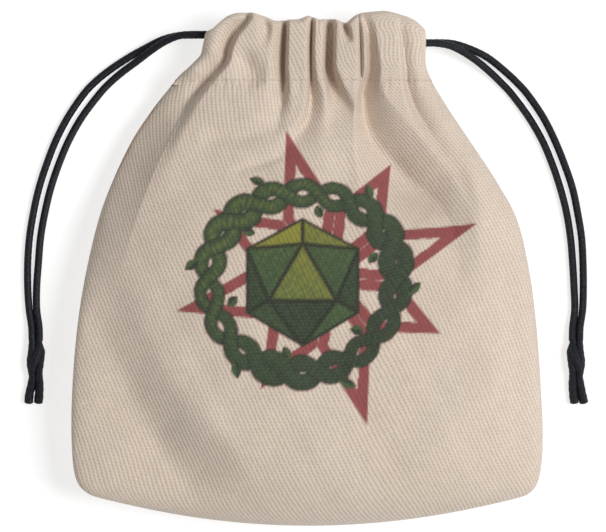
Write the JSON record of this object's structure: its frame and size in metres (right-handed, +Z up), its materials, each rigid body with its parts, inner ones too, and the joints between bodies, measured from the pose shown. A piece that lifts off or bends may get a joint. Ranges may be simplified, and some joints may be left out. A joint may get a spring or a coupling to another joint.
{
  "type": "drawstring dice bag",
  "caption": "Small gathered cotton pouch with a drawstring casing round its neck and a knotted cord loop leaving each side.",
  "frame": {"origin": "middle of the bag's footprint on the surface that it lies on, measured without the cords", "axes": "+Y from the bottom seam to the mouth, +X to the right seen from the front, +Z up out of the front panel"},
  "size_m": [0.1575, 0.142, 0.0366],
  "materials": {
    "cotton_twill": "coarse undyed cotton twill, matt",
    "cotton_thread": "spun thread in the cloth's own colour",
    "black_cord": "waxed braided cord, soft sheen"
  },
  "bodies": {
    "bag": {"front_panel": "cotton_twill", "back_panel": "cotton_twill", "front_casing": "cotton_twill", "back_casing": "cotton_twill", "front_casing_stitching": "cotton_thread", "back_casing_stitching": "cotton_thread", "bottom_seam_allowance": "cotton_twill", "left_seam_allowance": "cotton_twill", "right_seam_allowance": "cotton_twill"},
    "left_neck_edge": {"left_slit_bar_tack": "cotton_thread"},
    "right_neck_edge": {"right_slit_bar_tack": "cotton_thread"},
    "left_drawstring": {"left_cord_held_loop": "black_cord"},
    "right_drawstring": {"right_cord_held_loop": "black_cord"},
    "left_cord_end": {"left_cord_outer_strand": "black_cord", "left_cord_inner_strand": "black_cord", "left_cord_knot": "black_cord", "left_cord_tail_1": "black_cord", "left_cord_tail_2": "black_cord"},
    "right_cord_end": {"right_cord_outer_strand": "black_cord", "right_cord_inner_strand": "black_cord", "right_cord_knot": "black_cord", "right_cord_tail_1": "black_cord", "right_cord_tail_2": "black_cord"}
  },
  "joints": [
    {"name": "left_draw", "type": "slide", "parent": "bag", "child": "left_drawstring", "axis": [-1, 0, 0], "range_m": [-0.007, 0.01], "deforming": ["front_casing", "back_casing", "front_casing_stitching", "back_casing_stitching"]},
    {"name": "right_draw", "type": "slide", "parent": "bag", "child": "right_drawstring", "axis": [1, 0, 0], "range_m": [-0.007, 0.01]},
    {"name": "right_gather", "type": "slide", "parent": "bag", "child": "right_neck_edge", "axis": [-1, 0, 0], "range_m": [-0.007, 0.01]},
    {"name": "left_gather", "type": "slide", "parent": "bag", "child": "left_neck_edge", "axis": [1, 0, 0], "range_m": [-0.007, 0.01]},
    {"name": "left_swing", "type": "hinge", "parent": "left_drawstring", "child": "left_cord_end", "pos_m": [-0.031, 0.06515, 0.0082], "axis": [0, 0, 1], "range_deg": [-60, 0], "deforming": ["left_cord_outer_strand", "left_cord_inner_strand"]},
    {"name": "right_swing", "type": "hinge", "parent": "right_drawstring", "child": "right_cord_end", "pos_m": [0.031, 0.06285, 0.0082], "axis": [0, 0, 1], "range_deg": [0, 60], "deforming": ["right_cord_outer_strand", "right_cord_inner_strand"]}
  ],
  "couplings": [
    {"joint": "right_gather", "follows": "left_draw", "ratio": 1},
    {"joint": "left_gather", "follows": "right_draw", "ratio": 1}
  ]
}
